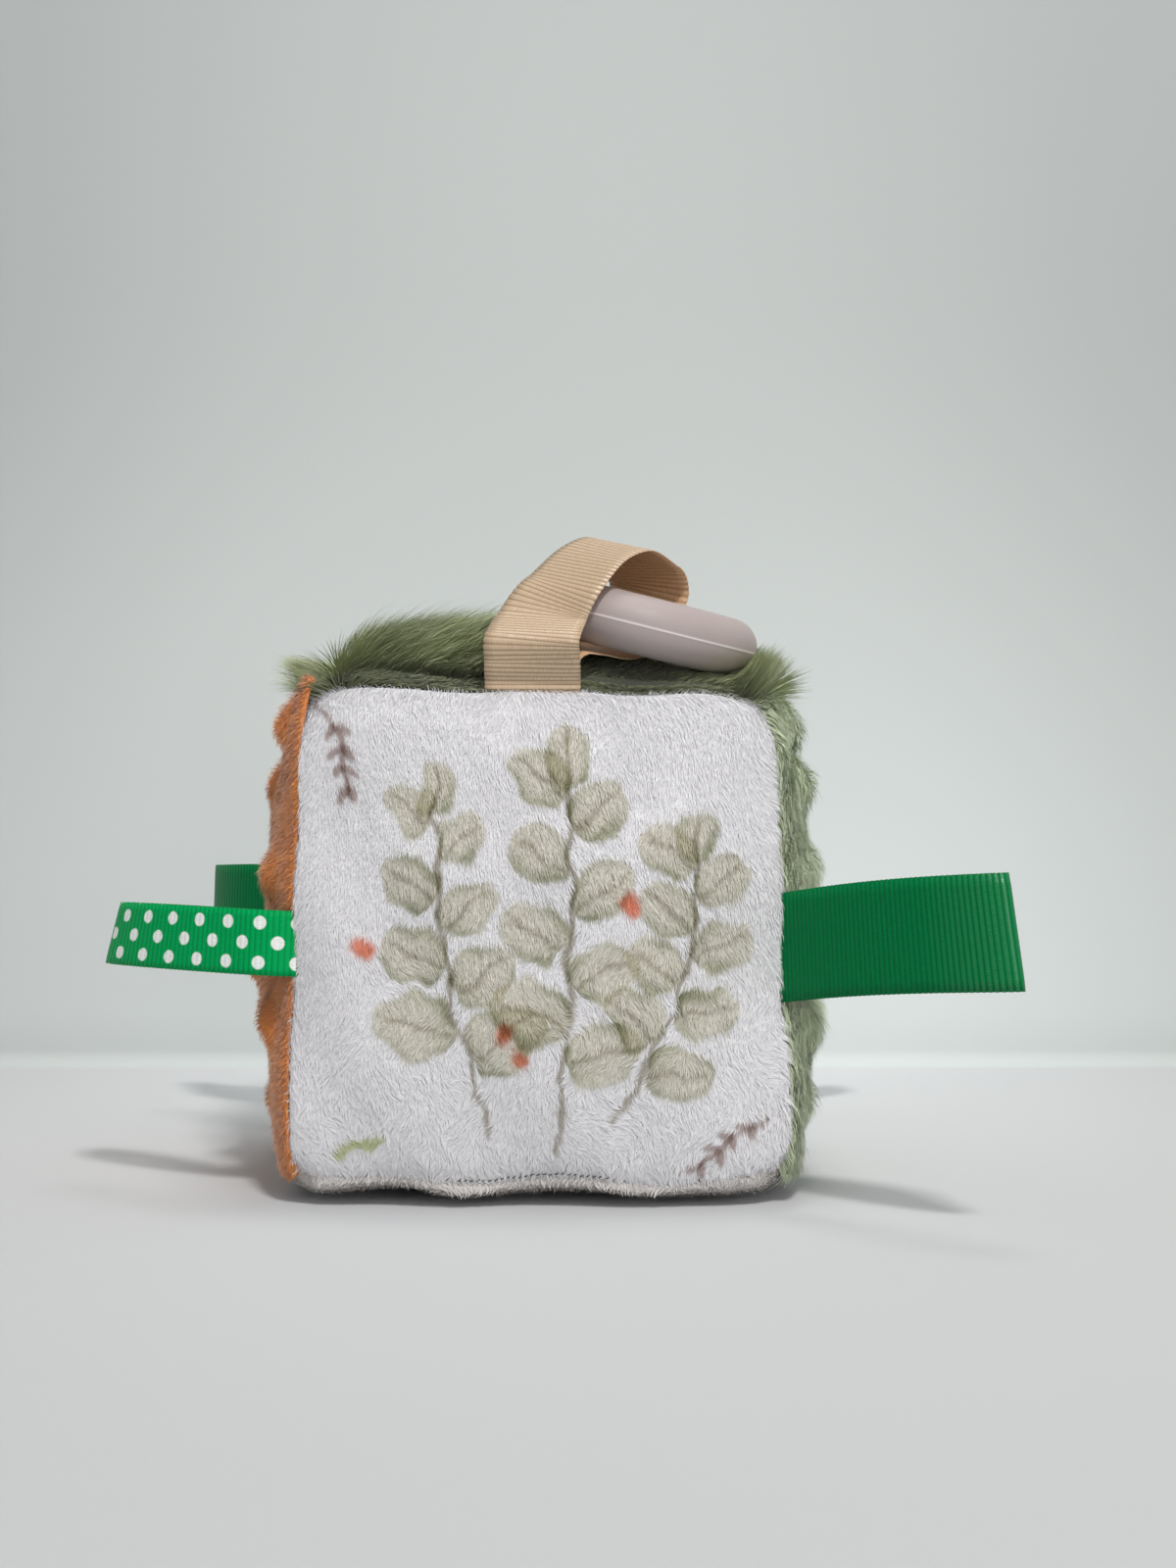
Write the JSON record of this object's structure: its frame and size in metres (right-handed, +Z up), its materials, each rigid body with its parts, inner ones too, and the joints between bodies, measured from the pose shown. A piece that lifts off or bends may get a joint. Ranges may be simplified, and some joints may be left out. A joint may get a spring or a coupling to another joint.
{
  "type": "soft fabric block",
  "caption": "Stuffed fabric play block with plush panels of different textures, flat ribbon loops in its seams and a silicone teether ring on a ribbon.",
  "frame": {"origin": "on the surface that the block stands on, under the middle of the block", "axes": "+Z up, -Y towards the front panel, +X to the right when looking at the front panel"},
  "size_m": [0.2104, 0.2041, 0.1566],
  "materials": {
    "white_plush": "short pile plush",
    "orange_plush": "short pile plush with raised dots",
    "sage_plush": "clumped pile plush with raised dots",
    "olive_fur": "long pile fur",
    "white_dimple_plush": "short pile plush with raised dots",
    "fibrefill": "polyester fibre filling",
    "thread": "twisted polyester thread",
    "green_ribbon": "grosgrain ribbon",
    "dotted_ribbon": "grosgrain ribbon printed with white dots",
    "beige_ribbon": "grosgrain ribbon",
    "silicone": "matt silicone"
  },
  "bodies": {
    "block": {"front_panel": "white_plush", "back_panel": "white_plush", "left_panel": "orange_plush", "right_panel": "sage_plush", "top_panel": "olive_fur", "top_pile": "olive_fur", "base_panel": "white_dimple_plush", "stuffing": "fibrefill", "front_seam_thread": "thread", "back_seam_thread": "thread", "base_left_seam_thread": "thread", "base_right_seam_thread": "thread", "top_left_seam_thread": "thread", "top_right_seam_thread": "thread", "green_ribbon_front_sewn_end": "green_ribbon", "green_ribbon_rear_sewn_end": "green_ribbon", "dotted_ribbon_front_sewn_end": "dotted_ribbon", "dotted_ribbon_rear_sewn_end": "dotted_ribbon", "beige_ribbon_sewn_end": "beige_ribbon"},
    "green_loop_front": {"green_ribbon_front_loop": "green_ribbon"},
    "green_loop_rear": {"green_ribbon_rear_loop": "green_ribbon"},
    "dotted_loop_front": {"dotted_ribbon_front_loop": "dotted_ribbon"},
    "dotted_loop_rear": {"dotted_ribbon_rear_loop": "dotted_ribbon"},
    "beige_loop": {"beige_ribbon_loop": "beige_ribbon"},
    "ring": {"teether_ring": "silicone"}
  },
  "joints": [
    {"name": "green_front_flick", "type": "hinge", "parent": "block", "child": "green_loop_front", "pos_m": [0.0563, -0.0563, 0.06026], "axis": [-0.0357, 0.0357, 0.9987], "range_deg": [-60, 60], "stiffness_Nm_per_rad": 0.002},
    {"name": "green_rear_flick", "type": "hinge", "parent": "block", "child": "green_loop_rear", "pos_m": [-0.0563, 0.0563, 0.06026], "axis": [0.0357, -0.0357, 0.9987], "range_deg": [-60, 60], "stiffness_Nm_per_rad": 0.002},
    {"name": "dotted_front_flick", "type": "hinge", "parent": "block", "child": "dotted_loop_front", "pos_m": [-0.0563, -0.0563, 0.06026], "axis": [0.0357, 0.0357, 0.9987], "range_deg": [-10, 80], "stiffness_Nm_per_rad": 0.002},
    {"name": "dotted_rear_flick", "type": "hinge", "parent": "block", "child": "dotted_loop_rear", "pos_m": [0.0563, 0.0563, 0.06026], "axis": [-0.0357, -0.0357, 0.9987], "range_deg": [-60, 60], "stiffness_Nm_per_rad": 0.002},
    {"name": "beige_loop_flop", "type": "hinge", "parent": "block", "child": "beige_loop", "pos_m": [-0.00124, -0.05527, 0.11912], "axis": [1, 0.0012, -0.0013], "range_deg": [0, 110]},
    {"name": "ring_swing", "type": "hinge", "parent": "beige_loop", "child": "ring", "pos_m": [0.00824, -0.04249, 0.13834], "axis": [0.6493, -0.7293, -0.2159], "range_deg": [0, 60]}
  ]
}
